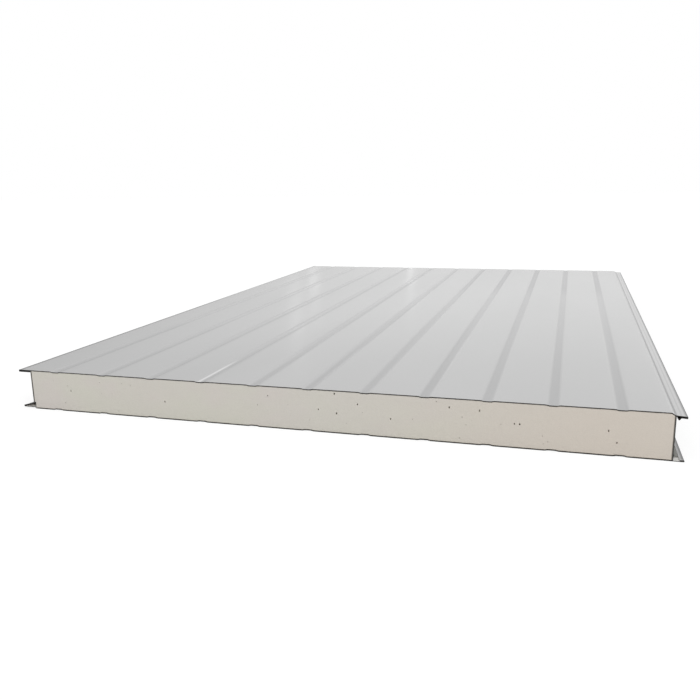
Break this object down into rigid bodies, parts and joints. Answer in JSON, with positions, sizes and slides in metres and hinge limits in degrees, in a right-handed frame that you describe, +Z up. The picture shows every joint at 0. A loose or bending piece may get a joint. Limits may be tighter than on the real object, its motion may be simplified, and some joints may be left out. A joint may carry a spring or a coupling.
{
  "type": "insulated sandwich panel",
  "caption": "Flat insulated wall panel: rigid foam core between roll-formed steel facings with shallow grooves and folded lap joints along both long edges.",
  "frame": {"origin": "middle of the underside, midway along and across the panel", "axes": "+Z up through the thickness towards the outer facing, +Y along the panel between its sawn ends, +X across the panel towards the edge with the two receiving lips"},
  "size_m": [1.17, 1.7, 0.075],
  "materials": {
    "coated_steel_outer": "semi-gloss coil coating, pale neutral grey",
    "coated_steel_inner": "semi-gloss coil coating, pale neutral grey",
    "rigid_foam": "sawn closed-cell foam, warm grey beige, with small pits",
    "side_tape": "laminated side tape, grey, satin",
    "seal_strip": "closed-cell foam rubber, mid grey, matt"
  },
  "bodies": {
    "root": {"outer_facing": "coated_steel_outer", "inner_facing": "coated_steel_inner", "insulation_core": "rigid_foam", "edge_tape_left": "side_tape", "edge_tape_right": "side_tape", "joint_seal": "seal_strip"}
  },
  "joints": []
}
